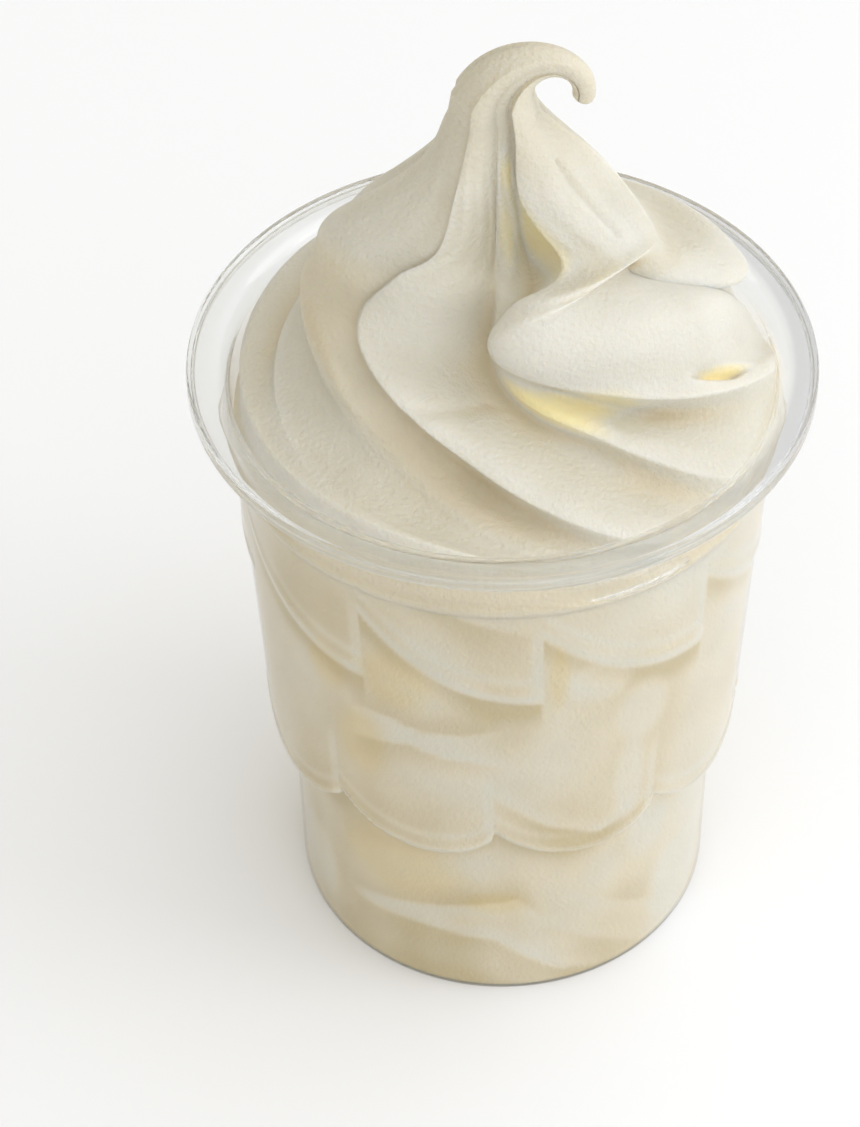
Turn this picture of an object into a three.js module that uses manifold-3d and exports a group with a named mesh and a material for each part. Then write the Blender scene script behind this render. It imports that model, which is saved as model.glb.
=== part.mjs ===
// Ice cream sundae: a clear plastic cup with two rows of moulded petals, filled with vanilla soft serve that
// rises above the rim in one folded swirl and ends in a hooked tip.
// Millimetres, +Z up. The origin is the middle of the cup's base, and the front of the sundae faces -Y.
// Azimuths are in degrees, from +X towards +Y, so 270 is the front and 360 is the right side.

import * as THREE from "three";
import Module from "manifold-3d";

// Cup
const CUP_HEIGHT = 91.8;
const RIM_RADIUS = 39;
const LIP_WIDTH = 3;
const LIP_DROP = 2.1;
const LIP_SHEET = 0.8;
const WALL = 0.7;
const FLOOR = 0.9;
const CONE_RADIUS = 34.6;
const CONE_TAPER = 0.043;
const FOOT_RADIUS = 28.4;
const FOOT_TAPER = 0.008;
const FOOT_CORNER = 1.2;
const BEAD_HEIGHT = 81.5;
const BEAD_SIZE = 0.45;
const BEAD_HALF = 1.2;

// Moulded petals. Each row has a scalloped lower edge that starts high at a seam and sinks to the next one.
const PETALS = 9;
const PETAL_ANGLE = 360 / PETALS;
const LOWER_SEAM = 268;
const LOWER_EDGE = 31.4;
const LOWER_RISE = 5.5;
const LOWER_LIFT = 4;
const SEAM_SHIFT = 10.5;
const UPPER_SEAM = LOWER_SEAM + SEAM_SHIFT;
const UPPER_EDGE = 63.7;
const UPPER_RISE = 12;
const UPPER_STEP = 0.2;
const EDGE_HALF = 1.4;
const SEAM_HALF = 0.4;

// Soft serve inside the cup
const GAP = 0.3;
const FILL_TOP = BEAD_HEIGHT - BEAD_HALF;

// Folds of the swirl, each a ridge that runs from the cup's wall (rim) over the top coil to its outermost bend
// (lobe), turns in to the foot of the peak (neck) and climbs the peak. A rim is azimuth and height, a peak is
// azimuth and radius, the others are azimuth, radius and height. groove says how deep the valley is that lies
// after the fold at these five places, as a share of GROOVE_DEPTH. A negative share swells instead. The valley is
// deepest beside the next fold, or beside its own fold where ownSide is set.
const FOLDS = [
  { rim: [372, 90.5], coil: [358, 26.5, 103], lobe: [340, 15.9, 109.7], shoulder: [350.6, 18.4, 110.9],
    neck: [360, 18, 112], peak: [357, 12.4], groove: [1, 1, 0.7, 0.3, 0.5], ownSide: true },
  { rim: [420, 94], coil: [388, 31, 97.5], lobe: [366, 30, 102], shoulder: [371, 26.8, 105.6],
    neck: [390, 19.3, 108.4], peak: [400, 9], groove: [1, 1, 1, 1, 1] },
  { rim: [475, 92], coil: [450, 29, 98], lobe: [430, 23, 104], neck: [435, 16, 112.5], peak: [445, 9.5],
    groove: [1, 1, 1, 1, 1] },
  { rim: [550, 89], coil: [505, 31.2, 93.8], lobe: [468, 22, 102], neck: [478, 17.5, 111.5], peak: [480, 9.5],
    groove: [0, 0.2, 1, 1, 1] },
  { rim: [623, 89], coil: [575, 30.3, 92], lobe: [512, 24.5, 97.5], neck: [505, 18.8, 110.5], peak: [510, 9],
    groove: [0, -0.1, 0.8, 1, 1] },
  { rim: [643, 86.5], coil: [602, 25, 91.6], lobe: [547, 24.5, 104], neck: [532, 20.5, 112], peak: [540, 9.8],
    groove: [1, 1.2, 0.8, 1, 1] },
  { rim: [658, 88], coil: [621, 24, 95.5], lobe: [573, 20.5, 105], neck: [587, 11.2, 115], peak: [591, 8.8],
    groove: [1, 0.8, 0, 0.1, 0.4] },
  { rim: [685, 88.5], coil: [660, 21.8, 95.5], lobe: [625, 12, 100.5], neck: [620, 4.2, 112], peak: [622, 4.8],
    groove: [1, 1.6, 0.6, 2.2, 1.8] },
  { rim: [708, 94.3], coil: [668, 22.3, 100.8], lobe: [626, 17.8, 107],
    neck: [670, 10.8, 113.5], peak: [646, 7.2], groove: [0.2, -0.6, -0.2, 0.3, 1] },
];
const RIDGE_RADIUS = 32.6;
const WALL_TURN = 14;
const WALL_DROP = 6;
const SHOULDER_TURN = 0.8;
const SHOULDER_REACH = 0.5;
const SHOULDER_LIFT = 1.8;
const PEAK_HEIGHT = 122;
const TOP_HEIGHT = 129.5;
const TOP_RADIUS = 5.4;
const TOP_LEAN = 0.9;
const TOP_HOLLOW = 0.7;
const HOLLOW_UNDER = 6;

// From the wall up the fold: wall, rim, coil, lobe, shoulder, neck, peak and top
const GROOVE_DEPTH = [0.4, 1.4, 2.8, 3.2, 2.6, 2, 1.2, 0.6];
const SURFACE_TILT = [80, 65, 55, 35, 50, 25, 5, 0];
const GROOVE_SKEW = 2;
// How far a groove leans in under the fold beside it, as a share of its depth
const GROOVE_LEAN = 0.8;

// Hooked tip: it bends to the right round a small hole, in the plane y = 0
const HOLE_X = 5.7;
const HOLE_HEIGHT = 132.2;
const HOLE_RADIUS = 2.3;
const HOOK_TURN = 205;
const HOOK_START = 4.45;
const HOOK_END = 1.35;
const HOOK_TAPER = 3.3;
const HOOK_CAP = 0.08;

// Fineness of the faceted solids
const COLUMNS_BETWEEN_SEAMS = 4;
const SWIRL_COLUMNS = FOLDS.length * 6;
const SWIRL_ROWS = 44;
const HOOK_ROWS = 11;

const RADIANS = Math.PI / 180;
const { lerp, smoothstep, euclideanModulo } = THREE.MathUtils;

function polar(azimuth, radius, height) {
  return new THREE.Vector3(radius * Math.cos(azimuth * RADIANS), radius * Math.sin(azimuth * RADIANS), height);
}

// A closed solid through rings of equally many points, each ring counterclockwise seen from outside above.
// The first and the last ring are closed by fans to their middles.
function solidThroughRings(rings) {
  const columns = rings[0].length;
  const middle = (ring) => ring.reduce((sum, p) => sum.add(p), new THREE.Vector3()).divideScalar(columns);
  const points = [...rings.flat(), middle(rings[0]), middle(rings.at(-1))];
  const first = rings.length * columns;
  const triangles = [];
  for (let i = 0; i < columns; i++) {
    const next = (i + 1) % columns;
    triangles.push(first, next, i);
    for (let j = 0; j < rings.length - 1; j++) {
      const low = j * columns;
      const high = low + columns;
      triangles.push(low + i, low + next, high + next, low + i, high + next, high + i);
    }
    const top = (rings.length - 1) * columns;
    triangles.push(top + i, top + next, first + 1);
  }
  const geometry = new THREE.BufferGeometry().setFromPoints(points);
  geometry.setIndex(triangles);
  return geometry;
}

// Cup wall

function shareOfPetal(azimuth, seam) {
  return euclideanModulo(azimuth - seam, PETAL_ANGLE) / PETAL_ANGLE;
}

function lowerEdge(azimuth) {
  const share = shareOfPetal(azimuth, LOWER_SEAM);
  return LOWER_EDGE + LOWER_RISE * (1 - share) ** 4 + LOWER_LIFT * share ** 6;
}

function upperEdge(azimuth) {
  return UPPER_EDGE + UPPER_RISE * (1 - shareOfPetal(azimuth, UPPER_SEAM)) ** 2;
}

function wallRadius(azimuth, height) {
  const foot = FOOT_RADIUS + FOOT_TAPER * height;
  const cone = CONE_RADIUS - CONE_TAPER * (CUP_HEIGHT - height);
  const low = lowerEdge(azimuth);
  const high = upperEdge(azimuth);
  const aboveLow = smoothstep(height, low - EDGE_HALF, low + EDGE_HALF);
  const aboveHigh = smoothstep(height, high - EDGE_HALF, high + EDGE_HALF);
  const bead = BEAD_SIZE * Math.max(0, 1 - Math.abs(height - BEAD_HEIGHT) / BEAD_HALF);
  return lerp(foot, cone - UPPER_STEP * (1 - aboveHigh), aboveLow) + bead;
}

// Heights of the wall's rows at an azimuth, from the foot up to the bead. Rows follow the petals' edges.
function wallRows(azimuth) {
  const low = lowerEdge(azimuth);
  const high = upperEdge(azimuth);
  return [
    FOOT_CORNER,
    low / 2,
    low - EDGE_HALF,
    low,
    low + EDGE_HALF,
    (low + high) / 2,
    high - EDGE_HALF,
    high + EDGE_HALF,
    FILL_TOP,
  ];
}

// Azimuths of the wall's columns: one on each side of every seam, and a few more across each petal
function wallAzimuths() {
  const azimuths = [];
  const from = SEAM_SHIFT + SEAM_HALF;
  const to = PETAL_ANGLE - SEAM_HALF;
  for (let petal = 0; petal < PETALS; petal++) {
    const seam = LOWER_SEAM + petal * PETAL_ANGLE;
    azimuths.push(seam + SEAM_HALF, seam + SEAM_SHIFT / 2, seam + SEAM_SHIFT - SEAM_HALF);
    for (let i = 0; i <= COLUMNS_BETWEEN_SEAMS; i++) {
      azimuths.push(seam + lerp(from, to, i / COLUMNS_BETWEEN_SEAMS));
    }
  }
  return azimuths;
}

function wallRing(pointAt) {
  return wallAzimuths().map(pointAt);
}

function petalRing(row, inset) {
  return wallRing((azimuth) => {
    const height = wallRows(azimuth)[row];
    return polar(azimuth, wallRadius(azimuth, height) - inset, height);
  });
}

function cupGeometry() {
  const roundRing = (radius, height) => wallRing((azimuth) => polar(azimuth, radius, height));
  const beadRing = (height, inset) => roundRing(wallRadius(0, height) - inset, height);
  const rowNumbers = wallRows(0).map((_, row) => row);
  const footCut = FOOT_CORNER * 0.3;
  const lipInner = RIM_RADIUS - LIP_WIDTH;
  const lipUnder = CUP_HEIGHT - LIP_SHEET;
  const outside = [
    roundRing(FOOT_RADIUS / 2, 0),
    roundRing(FOOT_RADIUS - FOOT_CORNER, 0),
    roundRing(FOOT_RADIUS - footCut, footCut),
    ...rowNumbers.map((row) => petalRing(row, 0)),
    beadRing(BEAD_HEIGHT, 0),
    beadRing(BEAD_HEIGHT + BEAD_HALF, 0),
    roundRing(wallRadius(0, lipUnder - LIP_DROP), lipUnder - LIP_DROP),
  ];
  const lip = [
    roundRing(lipInner + LIP_SHEET / 2, lipUnder),
    roundRing(RIM_RADIUS - LIP_SHEET, lipUnder),
    roundRing(RIM_RADIUS - LIP_SHEET, CUP_HEIGHT - LIP_DROP),
    roundRing(RIM_RADIUS, CUP_HEIGHT - LIP_DROP),
    roundRing(RIM_RADIUS, CUP_HEIGHT - LIP_SHEET / 2),
    roundRing(RIM_RADIUS - LIP_SHEET / 2, CUP_HEIGHT),
    roundRing(lipInner + LIP_SHEET / 2, CUP_HEIGHT),
    roundRing(lipInner - LIP_SHEET / 2, CUP_HEIGHT - LIP_SHEET / 2),
  ];
  const inside = [
    roundRing(wallRadius(0, lipUnder - LIP_DROP) - WALL, lipUnder - LIP_DROP),
    beadRing(BEAD_HEIGHT + BEAD_HALF, WALL),
    beadRing(BEAD_HEIGHT, WALL),
    ...rowNumbers.toReversed().map((row) => petalRing(row, WALL)),
    roundRing(FOOT_RADIUS - WALL - footCut / 2, FLOOR),
    roundRing(FOOT_RADIUS / 2, FLOOR),
  ];
  return solidThroughRings([...outside, ...lip, ...inside]);
}

// Soft serve

function fillGeometry() {
  const rowNumbers = wallRows(0).map((_, row) => row);
  const inset = WALL + GAP;
  const base = FLOOR + GAP;
  const rings = rowNumbers.map((row) => petalRing(row, inset));
  const flat = wallRing((azimuth) => polar(azimuth, FOOT_RADIUS - FOOT_CORNER - inset, base));
  return solidThroughRings([flat, ...rings]);
}

function curveThrough(stations, kind) {
  const points = stations.map((station) => new THREE.Vector3(...station));
  return new THREE.CatmullRomCurve3(points, false, kind, 0.5);
}

// The eight stations of a fold from the wall to the top of the peak, each azimuth, radius and height
function stationsOf(fold) {
  const [rimAzimuth, rimHeight] = fold.rim;
  const [peakAzimuth, peakRadius] = fold.peak;
  const wallHeight = rimHeight - WALL_DROP;
  const wallInside = wallRadius(0, FILL_TOP) - WALL - GAP;
  const shoulder = fold.shoulder ?? [
    lerp(fold.neck[0], fold.lobe[0], SHOULDER_TURN),
    lerp(fold.neck[1], fold.lobe[1], SHOULDER_REACH),
    (fold.neck[2] + fold.lobe[2]) / 2 + SHOULDER_LIFT,
  ];
  const hollow = peakRadius < HOLLOW_UNDER ? TOP_HOLLOW : 1;
  const topRadius = (TOP_RADIUS - TOP_LEAN * Math.cos(peakAzimuth * RADIANS)) * hollow;
  return [
    [rimAzimuth + WALL_TURN, wallInside, wallHeight],
    [rimAzimuth, RIDGE_RADIUS, rimHeight],
    fold.coil,
    fold.lobe,
    shoulder,
    fold.neck,
    [peakAzimuth, peakRadius, PEAK_HEIGHT],
    [peakAzimuth, topRadius, TOP_HEIGHT],
  ];
}

// The shares of groove depth after a fold at its eight stations
function groovesOf(fold) {
  const [rim, coil, lobe, neck, peak] = fold.groove;
  return [rim, rim, coil, lobe, (lobe + neck) / 2, neck, peak, peak];
}

function valueBetween(values, share) {
  const place = share * (values.length - 1);
  const low = Math.min(Math.floor(place), values.length - 2);
  return lerp(values[low], values[low + 1], place - low);
}

// Rings of the swirl from the wall to the top of the peak
function swirlRings() {
  const ridges = FOLDS.map((fold) => curveThrough(stationsOf(fold), "catmullrom"));
  const grooves = FOLDS.map(groovesOf);
  const count = FOLDS.length;
  const rings = [];
  for (let row = 0; row <= SWIRL_ROWS; row++) {
    const rise = row / SWIRL_ROWS;
    const onRidges = ridges.map((ridge) => ridge.getPoint(rise));
    const depth = valueBetween(GROOVE_DEPTH, rise);
    const tilt = valueBetween(SURFACE_TILT, rise) * RADIANS;
    const around = [];
    for (let k = -2; k < count + 3; k++) {
      const turn = 360 * Math.floor(k / count);
      const ridge = onRidges[euclideanModulo(k, count)];
      around.push([ridge.x + turn, ridge.y, ridge.z]);
    }
    const ringCurve = curveThrough(around, "centripetal");
    const ring = [];
    for (let i = 0; i < SWIRL_COLUMNS; i++) {
      const place = (i * count) / SWIRL_COLUMNS;
      const fold = Math.floor(place);
      const { ownSide } = FOLDS[fold];
      const share = ownSide ? fold + 1 - place : place - fold;
      const valley = Math.sin(Math.PI * share ** GROOVE_SKEW);
      const cut = depth * valley * valueBetween(grooves[fold], rise);
      const point = ringCurve.getPoint((place + 2) / (around.length - 1));
      const lean = (GROOVE_LEAN * Math.max(0, cut) * (ownSide ? -1 : 1)) / point.y / RADIANS;
      ring.push(polar(point.x + lean, point.y - cut * Math.cos(tilt), point.z - cut * Math.sin(tilt)));
    }
    rings.push(ring);
  }
  return rings;
}

// Rings of the hooked tip. The folds of the last swirl ring fade out along it.
function hookRings(lastRing) {
  const middle = lastRing.reduce((sum, p) => sum.add(p), new THREE.Vector3()).divideScalar(lastRing.length);
  const arms = lastRing.map((point) => point.clone().sub(middle));
  const lengths = arms.map((arm) => Math.hypot(arm.x, arm.y));
  const mean = lengths.reduce((sum, length) => sum + length, 0) / lengths.length;
  const rings = [];
  for (let row = 0; row <= HOOK_ROWS; row++) {
    const along = row / HOOK_ROWS;
    const angle = Math.PI - along * HOOK_TURN * RADIANS;
    const size = HOOK_END + (HOOK_START - HOOK_END) * (1 - along) ** HOOK_TAPER;
    const reach = HOLE_RADIUS + size;
    const inward = new THREE.Vector3(-Math.cos(angle), 0, -Math.sin(angle));
    const sideways = new THREE.Vector3(0, 1, 0);
    const centre = new THREE.Vector3(HOLE_X, 0, HOLE_HEIGHT).addScaledVector(inward, -reach);
    const endShare = Math.max(0, (along - 1 + HOOK_CAP) / HOOK_CAP);
    const cap = Math.max(0.3, Math.sqrt(1 - endShare ** 2));
    const fade = Math.max(0, 1 - 1.5 * along);
    rings.push(
      arms.map((arm, i) => {
        const radius = size * cap * (1 + (lengths[i] / mean - 1) * fade);
        return centre
          .clone()
          .addScaledVector(inward, (radius * arm.x) / lengths[i])
          .addScaledVector(sideways, (radius * arm.y) / lengths[i]);
      }),
    );
  }
  return rings;
}

// The swirl goes down into the fill as a plain plug, so that the two join.
function swirlGeometry() {
  const rings = swirlRings();
  const plugHeight = FILL_TOP - 6;
  const plug = rings[0].map((point) => new THREE.Vector3(point.x * 0.94, point.y * 0.94, plugHeight));
  return solidThroughRings([plug, ...rings, ...hookRings(rings.at(-1))]);
}

const wasm = await Module();
wasm.setup();

function toManifold(geometry) {
  const vertProperties = geometry.getAttribute("position").array;
  const triVerts = Uint32Array.from(geometry.index.array);
  return new wasm.Manifold(new wasm.Mesh({ numProp: 3, vertProperties, triVerts }));
}

function joined(geometryA, geometryB) {
  const mesh = toManifold(geometryA).add(toManifold(geometryB)).getMesh();
  const geometry = new THREE.BufferGeometry();
  geometry.setAttribute("position", new THREE.BufferAttribute(mesh.vertProperties, mesh.numProp));
  geometry.setIndex(new THREE.BufferAttribute(mesh.triVerts, 1));
  return geometry;
}

function namedMesh(name, geometry, material) {
  geometry.computeVertexNormals();
  const mesh = new THREE.Mesh(geometry, new THREE.MeshStandardMaterial(material));
  mesh.name = name;
  return mesh;
}

const sundae = new THREE.Group();
sundae.add(
  namedMesh("cup", cupGeometry(), { color: 0xf2f3f1, roughness: 0.08, metalness: 0 }),
  namedMesh("soft_serve", joined(fillGeometry(), swirlGeometry()), { color: 0xefe7d3, roughness: 0.55, metalness: 0 }),
);

export default sundae;
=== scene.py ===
"""Ice cream sundae: a clear plastic cup with moulded petals, filled with a swirl of vanilla soft serve.

Sizes are in millimetres in this script and become metres where a mesh, the lamp or the camera is made.
Azimuths are in degrees from +X towards +Y, so 270 is the front and 360 is the right side.
"""

import math

import bpy
import numpy as np
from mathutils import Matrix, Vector, noise


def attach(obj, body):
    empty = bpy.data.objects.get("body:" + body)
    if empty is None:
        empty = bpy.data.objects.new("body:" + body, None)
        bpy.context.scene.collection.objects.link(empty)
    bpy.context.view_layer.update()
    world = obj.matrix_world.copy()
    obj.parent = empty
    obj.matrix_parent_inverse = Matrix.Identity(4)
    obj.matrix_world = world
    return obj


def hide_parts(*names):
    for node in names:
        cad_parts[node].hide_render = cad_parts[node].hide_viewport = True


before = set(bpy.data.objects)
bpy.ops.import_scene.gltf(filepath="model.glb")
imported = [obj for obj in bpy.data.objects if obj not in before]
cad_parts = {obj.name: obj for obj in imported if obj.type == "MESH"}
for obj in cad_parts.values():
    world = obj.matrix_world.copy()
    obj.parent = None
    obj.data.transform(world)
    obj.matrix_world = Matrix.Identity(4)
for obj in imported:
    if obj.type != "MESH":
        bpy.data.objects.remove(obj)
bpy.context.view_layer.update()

MM = 0.001

# Cup
CUP_HEIGHT = 91.8
RIM_RADIUS = 39.0
LIP_WIDTH = 3.0
LIP_DROP = 2.1
LIP_SHEET = 0.8
LIP_CORNER = 0.45
LIP_INSET = 0.2
LIP_BLEND = 0.5
WALL = 0.7
FLOOR = 0.9
CONE_RADIUS = 34.6
CONE_TAPER = 0.043
FOOT_RADIUS = 28.4
FOOT_TAPER = 0.008
FOOT_CORNER = 1.2
BEAD_HEIGHT = 81.5
BEAD_SIZE = 0.45
BEAD_HALF = 1.2

# Moulded petals
PETALS = 9
PETAL_ANGLE = 360 / PETALS
LOWER_SEAM = 268.0
LOWER_EDGE = 31.4
LOWER_RISE = 5.5
LOWER_LIFT = 4.0
SEAM_SHIFT = 10.5
UPPER_SEAM = LOWER_SEAM + SEAM_SHIFT
UPPER_EDGE = 63.7
UPPER_RISE = 12.0
UPPER_STEP = 0.2
EDGE_HALF = 0.9
SEAM_HALF = 0.6
PETAL_CROWN = 0.25
PETAL_RIM = 0.15
RIM_ABOVE = 2.0
RIM_HALF = 0.8
# How far below the bead the petals begin to fade out
PETAL_FADE = 4

# Folds of the swirl: rim is azimuth and height, peak is azimuth and radius, and the others are azimuth,
# radius and height. groove is the share of the groove depth after the fold at rim, coil, lobe, neck and
# peak. The groove is deepest beside the next fold, or beside its own fold where own_side is set.
FOLDS = [
    dict(rim=(372, 90.5), coil=(358, 26.5, 103), lobe=(340, 15.9, 109.7), shoulder=(350.6, 18.4, 110.9),
         neck=(360, 18, 112), peak=(357, 12.4), groove=(1, 1, 0.7, 0.3, 0.5), own_side=True),
    dict(rim=(420, 94), coil=(388, 31, 97.5), lobe=(366, 30, 102), shoulder=(371, 26.8, 105.6),
         neck=(390, 19.3, 108.4), peak=(400, 9), groove=(1, 1, 1, 1, 1)),
    dict(rim=(475, 92), coil=(450, 29, 98), lobe=(430, 23, 104),
         neck=(435, 16, 112.5), peak=(445, 9.5), groove=(1, 1, 1, 1, 1)),
    dict(rim=(550, 89), coil=(505, 31.2, 93.8), lobe=(468, 22, 102),
         neck=(478, 17.5, 111.5), peak=(480, 9.5), groove=(0, 0.2, 1, 1, 1)),
    dict(rim=(623, 89), coil=(575, 30.3, 92), lobe=(512, 24.5, 97.5),
         neck=(505, 18.8, 110.5), peak=(510, 9), groove=(0, -0.1, 0.8, 1, 1)),
    dict(rim=(643, 86.5), coil=(602, 25, 91.6), lobe=(547, 24.5, 104),
         neck=(532, 20.5, 112), peak=(540, 9.8), groove=(1, 1.2, 0.8, 1, 1)),
    dict(rim=(658, 88), coil=(621, 24, 95.5), lobe=(573, 20.5, 105),
         neck=(587, 11.2, 115), peak=(591, 8.8), groove=(1, 0.8, 0, 0.1, 0.4)),
    dict(rim=(685, 88.5), coil=(660, 21.8, 95.5), lobe=(625, 12, 100.5),
         neck=(620, 4.2, 112), peak=(622, 4.8), groove=(1, 1.6, 0.6, 2.2, 1.8)),
    dict(rim=(708, 94.3), coil=(668, 22.3, 100.8), lobe=(626, 17.8, 107),
         neck=(670, 10.8, 113.5), peak=(646, 7.2), groove=(0.2, -0.6, -0.2, 0.3, 1)),
]
RIDGE_RADIUS = 32.6
WALL_TURN = 14
WALL_DROP = 6
SHOULDER_TURN = 0.8
SHOULDER_REACH = 0.5
SHOULDER_LIFT = 1.8
PEAK_HEIGHT = 122
TOP_HEIGHT = 129.5
TOP_RADIUS = 5.4
TOP_LEAN = 0.9
TOP_HOLLOW = 0.7
HOLLOW_UNDER = 6

# Up the fold: wall, rim, coil, lobe, shoulder, neck, peak and top. A rise counts these stations from 0.
GROOVE_DEPTH = (0.4, 1.4, 2.8, 3.2, 2.6, 2, 1.2, 0.6)
SURFACE_TILT = (80, 65, 55, 35, 50, 25, 5, 0)
GROOVE_SKEW = 2.0
# How far a groove leans in under the fold on its deepest side, as a share of its depth
GROOVE_LEAN = 0.8

# Hooked tip
HOLE_X = 5.7
HOLE_HEIGHT = 132.2
HOLE_RADIUS = 2.3
HOOK_TURN = 205
HOOK_START = 4.45
HOOK_END = 1.35
HOOK_TAPER = 3.3
# Share of the hook's length that its round end takes, and the least share of its size there
HOOK_CAP = 0.08
HOOK_POINT = 0.05
# How fast the folds fade out along the hook
HOOK_FADE = 1.5

# Streaks that the nozzle leaves along the folds: how many a fold has, how deep they are and how they waver
STREAKS = 4
STREAK_DEPTH = 0.06
STREAK_WAVER = 0.35
STREAK_WAVES = 2.1
# Rises at which the streaks begin to deepen up the peak, are deepest, begin to fade, and end
STREAK_RISES = (3.8, 5.2, 5.6, 6.8)
# Where the peak's hollow is among the folds, and how far from it its share of the depth is full and ends
STREAK_PLACE = 6.55
STREAK_NEAR = 0.2
STREAK_FAR = 0.6
# Shares of the depth all over, up the peak and beside its hollow
STREAK_SHARES = (0.3, 0.7, 1.5)

# Fine lines of the swirl. A line runs from a place among the folds and a rise along them to another place
# and rise, and has half a width and a depth, which is below zero for a swelling.
LINES = [
    (8.55, 6.4, 8.62, 5.2, 0.035, 0.45),
    (8.3, 1.64, 8.24, 1.35, 0.06, 1.7),
    (6, 2.38, 6.6, 2.61, 0.05, 0.5),
    (5.2, 2.5, 5.33, 2.63, 0.11, -0.7),
    (8.2, 4.3, 8.5, 4.4, 0.4, -1.2),
    (8.6, 3.5, 8.9, 3.5, 0.35, -1.2),
]
# Rounded creases of the swirl: place among the folds, rise along them, and half the size in each
SOFT_SPOTS = [
    (8.9, 4.1, 0.6, 1),
]
SOFT_CORE = 0.5
SOFT_COLUMNS = 7
SOFT_ROWS = 8

# Soft serve behind the wall. It reaches just into the plastic, and it and the swirl reach into each other.
REACH = 0.3
INSET = WALL - REACH
SWIRL_START = 80.0
OVERLAP = 1.0

# Tones of the soft serve: a painted yellow glow where light shines through thin folds, a painted highlight
# whitest on crests, pale, and then warm behind the wall and deep where shade is painted
TONE_LIGHT_THROUGH = 0.04
TONE_CREST_HIGHLIGHT = 0.4
TONE_PALE = 0.46
TONE_TIP_SHADE = 0.5
TONE_BEHIND = 0.68
TONE_WARM_SHADE = 0.8
TONE_HOLLOW_SHADE = 0.9
TONE_COLOURS = [
    (0, (0.95, 0.83, 0.44)),
    (TONE_CREST_HIGHLIGHT, (0.7, 0.685, 0.625)),
    (TONE_PALE, (0.655, 0.625, 0.53)),
    (TONE_BEHIND, (0.66, 0.59, 0.45)),
    (1, (0.54, 0.455, 0.275)),
]

# Painted light and shade of the swirl. The first two say how far below its neighbours a hollow's painted
# warm shade is deepest, and how far above them a crest's painted highlight is whitest.
HOLLOW_SHADE_FULL = 1.0
CREST_HIGHLIGHT_FULL = 0.8
HOLLOW_COLUMNS = 12
HOLLOW_ROWS = 9
# Rises between which the folds' tones change to the tip's painted shade, and to those behind the wall
TIP_RISES = (6, 7)
WALL_RISES = (0.9, 0.3)
# Spots of painted light and shade: place among the folds, rise along them, half the size in each, tone and
# strength
SWIRL_PAINTED_LIGHT_SPOTS = [
    (5.3, 3.4, 0.9, 1.4, TONE_WARM_SHADE, 0.5),
    (5.5, 1.9, 0.6, 1, TONE_WARM_SHADE, 0.7),
    (7.35, 6.4, 0.4, 0.8, TONE_LIGHT_THROUGH, 0.75),
    (7.2, 5.2, 0.35, 0.9, TONE_LIGHT_THROUGH, 0.5),
    (7.8, 5.3, 0.4, 1.2, TONE_LIGHT_THROUGH, 0.85),
    (7.75, 2.05, 0.4, 0.4, TONE_LIGHT_THROUGH, 0.7),
    (6.7, 1.9, 0.3, 0.5, TONE_PALE, 0.9),
    (7.15, 2.4, 0.4, 0.6, TONE_LIGHT_THROUGH, 1),
    (7.5, 2.3, 0.35, 0.4, TONE_LIGHT_THROUGH, 0.85),
    (8.28, 1.48, 0.13, 0.3, TONE_LIGHT_THROUGH, 1),
    (5.2, 2.8, 0.2, 0.35, TONE_WARM_SHADE, 0.5),
    (8.65, 5, 0.4, 1.1, TONE_CREST_HIGHLIGHT, 1),
    (0.6, 3.4, 0.7, 1, TONE_CREST_HIGHLIGHT, 1),
]
SWIRL_PAINTED_LIGHT_CORE = 0.2

# Tones of the filling repeat round the cup, each turn like the one that starts here
FILL_START = 222
FILL_TURN = 120
# Edges of the folds pressed against the wall, with painted shade on one side and a painted highlight on the
# other.
# Each has the side, above or below it, on which the shade lies, a strength, and a line of azimuths and
# heights.
FILL_LINES = [
    (-1, 0.6, ((250, 83), (263, 79), (276, 76.4))),
    (1, 1, ((234, 57), (243, 57.7), (252, 56.4), (262, 57.1), (270, 58.5))),
    (-1, 1, ((234, 51), (249, 53.5), (258, 52.1), (270, 51.5))),
    (-1, 1, ((266, 46), (280, 38.8), (293, 35.2), (306, 38.5))),
    (1, 1, ((224, 12.5), (247, 16.2), (260, 18), (274, 19.6), (282, 15))),
    (-1, 1, ((224, 11.2), (250, 12.1), (268, 11), (276, 7.4), (286, 3.3), (300, 1.5))),
    (1, 0.4, ((288, 20), (304, 13.6), (315, 9.7), (335, 0.6))),
    (-1, 0.4, ((280, 14), (297, 7.8), (317, 0))),
]
LINE_HIGHLIGHT = 0.16
LINE_SHADE = 0.25
LINE_HIGHLIGHT_REACH = 4
LINE_SHADE_REACH = 7
# Distances past a line at which its band begins, and is full, and from which it fades
LINE_BEGIN = -0.2
LINE_FULL = 0.4
LINE_FADE = 0.5
# Painted highlights on the filling, in spots: azimuth, height, and half the size in each
HIGHLIGHT_SPOTS = [
    (300.5, 44, 5, 11),
    (303, 57, 9, 7),
    (292, 66, 10, 5),
    (313, 27, 10, 8),
    (326, 11, 14, 9),
]
SPOT_HIGHLIGHT = 0.2
HIGHLIGHT_SPOT_CORE = 0.5
# Amber spots of the filling, in the same way
AMBER_SPOTS = [
    (236, 50, 9, 9),
    (240, 23, 26, 9),
    (268, 19, 12, 3),
    (246, 65, 12, 7),
    (282, 68, 3, 8),
    (228, 62, 8, 6),
]
AMBER_SPOT_CORE = 0.4
AMBER_TINT = (1, 0.945, 0.77)
# Painted highlight lines along a petal's edge: height above the edge, half a width and strength
EDGE_HIGHLIGHT_LINES = [
    (0.7, 0.8, 1),
    (4, 0.7, 0.5),
]
EDGE_HIGHLIGHT = 0.33
# The shade under a petal's edge begins above it, is deepest just below it, and fades out further down
EDGE_DEEP = 0.34
EDGE_BEGIN = 0.2
EDGE_FULL = -0.6
EDGE_SHADE = -6.0
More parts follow.
